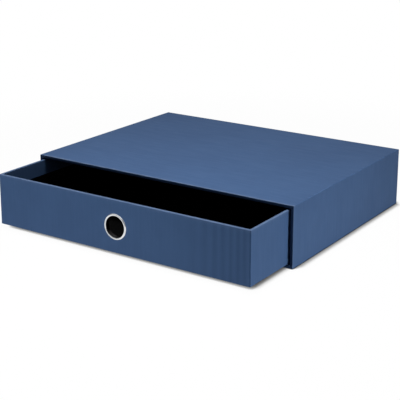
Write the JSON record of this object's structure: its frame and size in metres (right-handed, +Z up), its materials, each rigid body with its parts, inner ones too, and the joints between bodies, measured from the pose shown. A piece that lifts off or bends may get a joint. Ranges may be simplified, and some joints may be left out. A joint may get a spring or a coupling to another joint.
{
  "type": "file box with drawer",
  "caption": "Paper-covered board slip casing, closed at the back, with a sliding drawer that has a round metal finger eyelet in its front.",
  "frame": {"origin": "centre of the casing's underside", "axes": "+X to the right along the front, +Y to the closed back, +Z up; the drawer pulls out along -Y"},
  "size_m": [0.33, 0.3212, 0.066],
  "materials": {
    "greyboard": "bare grey board, matt",
    "stay_tape": "brown gummed paper, matt",
    "cover_paper": "blue embossed covering paper, satin",
    "lining_paper": "black lining paper, matt",
    "eyelet_metal": "nickel-plated, polished"
  },
  "bodies": {
    "casing": {"casing_top_board": "greyboard", "casing_bottom_board": "greyboard", "casing_left_board": "greyboard", "casing_right_board": "greyboard", "casing_back_board": "greyboard", "casing_corner_stays": "stay_tape", "casing_wrap_paper": "cover_paper", "casing_back_paper": "cover_paper", "casing_bottom_paper": "cover_paper", "casing_lining": "lining_paper"},
    "drawer": {"drawer_base_board": "greyboard", "drawer_front_board": "greyboard", "drawer_back_board": "greyboard", "drawer_left_board": "greyboard", "drawer_right_board": "greyboard", "drawer_corner_stays": "stay_tape", "drawer_wrap_paper": "cover_paper", "drawer_bottom_paper": "lining_paper", "drawer_wall_lining": "lining_paper", "drawer_floor_lining": "lining_paper", "eyelet_ring": "eyelet_metal", "eyelet_washer": "eyelet_metal"}
  },
  "joints": [
    {"name": "drawer_slide", "type": "slide", "parent": "casing", "child": "drawer", "axis": [0, -1, 0], "range_m": [-0.07, 0.13]}
  ]
}
